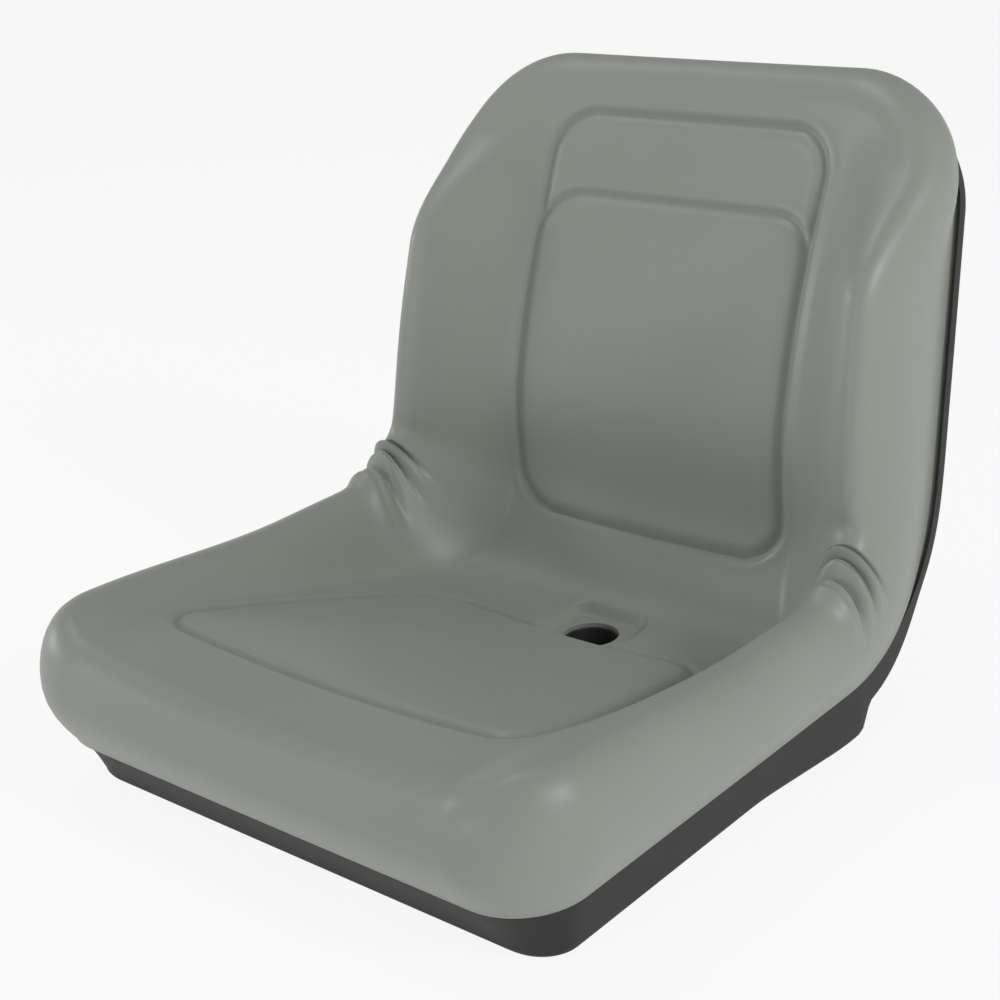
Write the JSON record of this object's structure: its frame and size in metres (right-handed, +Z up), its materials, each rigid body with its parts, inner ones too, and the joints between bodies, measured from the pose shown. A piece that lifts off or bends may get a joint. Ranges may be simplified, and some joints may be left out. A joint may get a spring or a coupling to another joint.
{
  "type": "tractor seat",
  "caption": "High-back bucket seat for a compact tractor: one moulded vinyl cushion with side bolsters and grooves, in a pressed steel pan with a drain and a bolt pattern below.",
  "frame": {"origin": "centre of the four bolt holes, on the underside of the mounting ribs", "axes": "+Z up, away from the mounting plane; -Y towards the front edge of the seat; +X towards the sitter's left"},
  "size_m": [0.4978, 0.5626, 0.4519],
  "materials": {
    "vinyl": "light warm grey moulded vinyl with a fine grain, soft sheen",
    "coated_steel": "black powder coat, fine texture, low gloss",
    "black_plastic": "black moulded plastic, matte",
    "zinc": "zinc plate"
  },
  "bodies": {
    "root": {"cushion": "vinyl", "seat_pan": "coated_steel", "drain_tube": "black_plastic", "stiffener_bar_left": "coated_steel", "stiffener_bar_right": "coated_steel", "weld_nuts": "zinc"}
  },
  "joints": []
}
